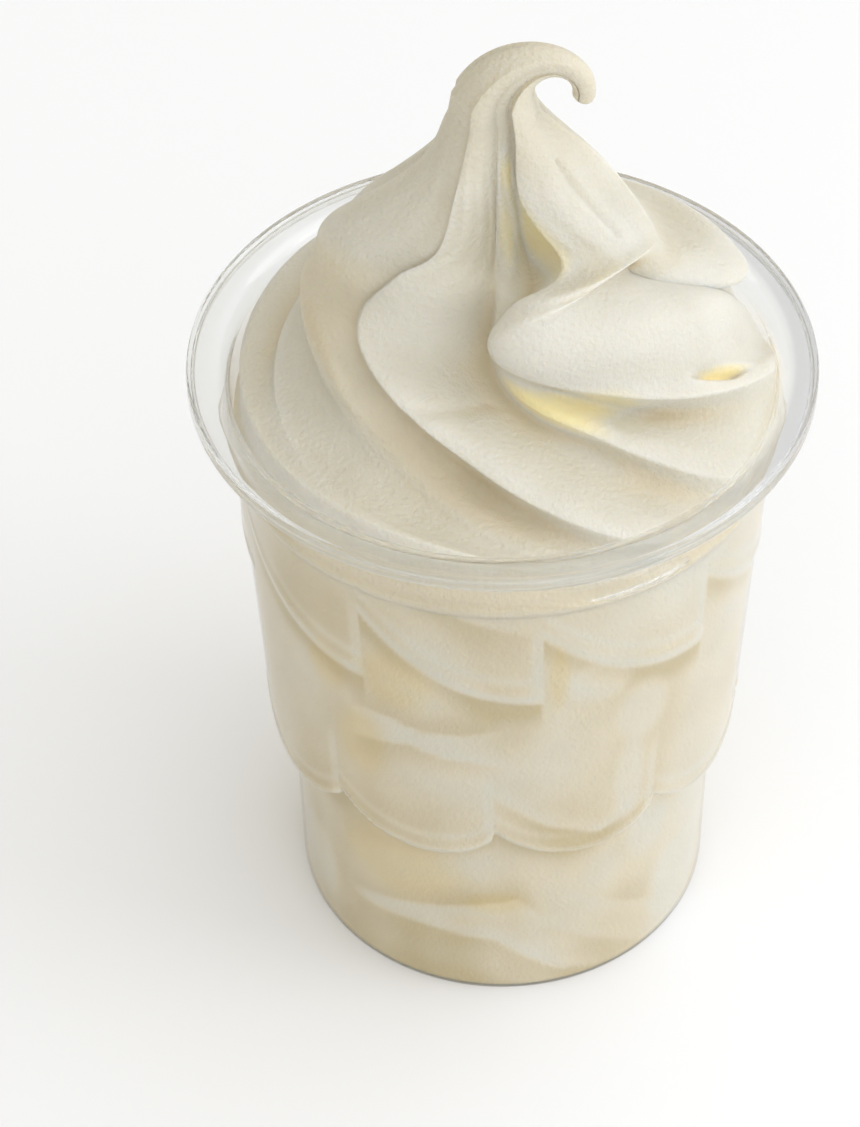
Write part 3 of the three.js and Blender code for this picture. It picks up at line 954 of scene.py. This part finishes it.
def vanilla():
    """Soft serve: its tone with painted light and shade, faintly clouded and tinted amber, with a fine grain
    and light inside it.
    """
    material, tree, shader = new_material("vanilla_soft_serve")
    clouded = multiplied(tree, ramp_colour(tree, attribute_value(tree, "tone"), TONE_COLOURS))
    clouded.inputs["Fac"].default_value = 1
    cloud = ramp_colour(tree, noise_value(tree, scale=130, detail=5), CLOUD_COLOURS)
    tree.links.new(cloud, clouded.inputs["Color2"])
    stained = multiplied(tree, clouded.outputs["Color"])
    stained.inputs["Color2"].default_value = (*AMBER_TINT, 1)
    tree.links.new(attribute_value(tree, "amber"), stained.inputs["Fac"])
    tree.links.new(stained.outputs["Color"], shader.inputs["Base Color"])
    bump = tree.nodes.new("ShaderNodeBump")
    bump.inputs["Strength"].default_value = 0.6
    bump.inputs["Distance"].default_value = 0.5 * MM
    tree.links.new(noise_value(tree, scale=1600, detail=4), bump.inputs["Height"])
    tree.links.new(bump.outputs["Normal"], shader.inputs["Normal"])
    shader.inputs["Roughness"].default_value = 0.5
    shader.inputs["Subsurface Weight"].default_value = 0.5
    shader.inputs["Subsurface Radius"].default_value = (1.0, 0.8, 0.5)
    shader.inputs["Subsurface Scale"].default_value = 3 * MM
    return material


def pale_floor():
    material, _, shader = new_material("pale_floor")
    shader.inputs["Base Color"].default_value = (*FLOOR_COLOUR, 1)
    shader.inputs["Roughness"].default_value = 0.6
    return material


# Stage

def make_floor():
    half = FLOOR_HALF * MM
    corners = [(-half, -half, 0), (half, -half, 0), (half, half, 0), (-half, half, 0)]
    mesh = bpy.data.meshes.new("floor")
    mesh.from_pydata(corners, [], [(0, 1, 2, 3)])
    mesh.materials.append(pale_floor())
    floor = bpy.data.objects.new("floor", mesh)
    bpy.context.scene.collection.objects.link(floor)


def make_key_lamp():
    place = Vector(KEY_PLACE) * MM
    aim = Vector(KEY_AIM) * MM
    lamp = bpy.data.lights.new("key_right", "AREA")
    lamp.size = KEY_SIZE * MM
    lamp.energy = KEY_POWER
    holder = bpy.data.objects.new("key_right", lamp)
    holder.location = place
    holder.rotation_euler = (aim - place).to_track_quat("-Z", "Y").to_euler()
    bpy.context.scene.collection.objects.link(holder)


def make_dome():
    world = bpy.data.worlds.new("studio")
    world.use_nodes = True
    tree = world.node_tree
    direction = tree.nodes.new("ShaderNodeTexCoord")
    towards = tree.nodes.new("ShaderNodeVectorMath")
    towards.operation = "DOT_PRODUCT"
    towards.inputs[1].default_value = DOME_CENTRE
    share = tree.nodes.new("ShaderNodeMapRange")
    share.inputs["From Min"].default_value = -1
    tree.links.new(direction.outputs["Generated"], towards.inputs[0])
    tree.links.new(towards.outputs["Value"], share.inputs["Value"])
    background = tree.nodes["Background"]
    colour = ramp_colour(tree, share.outputs["Result"], DOME_COLOURS)
    tree.links.new(colour, background.inputs["Color"])
    background.inputs["Strength"].default_value = DOME_STRENGTH
    bpy.context.scene.world = world
    bpy.context.scene.view_settings.view_transform = "Standard"


def make_camera():
    lens = bpy.data.cameras.new("photo_camera")
    lens.sensor_width = SENSOR_SIZE
    lens.lens = FOCAL_PIXELS / PHOTO_HEIGHT * SENSOR_SIZE
    lens.shift_x = (PHOTO_WIDTH / 2 - AXIS_PIXEL) / PHOTO_HEIGHT
    camera = bpy.data.objects.new("photo_camera", lens)
    camera.location = (0, -CAMERA_BACK * MM, CAMERA_HEIGHT * MM)
    camera.rotation_euler = (math.radians(90 - CAMERA_PITCH), 0, 0)
    bpy.context.scene.collection.objects.link(camera)
    bpy.context.scene.camera = camera


cup = make_cup(clear_plastic())
cream = vanilla()
pieces = [
    (cup, "cup", "clear_plastic"),
    (make_fill(cream), "soft_serve", "vanilla_soft_serve"),
    (make_swirl(cream), "soft_serve", "vanilla_soft_serve"),
]
for piece, node, slot in pieces:
    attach(piece, "root")
    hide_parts(node)

make_floor()
make_key_lamp()
make_dome()
make_camera()
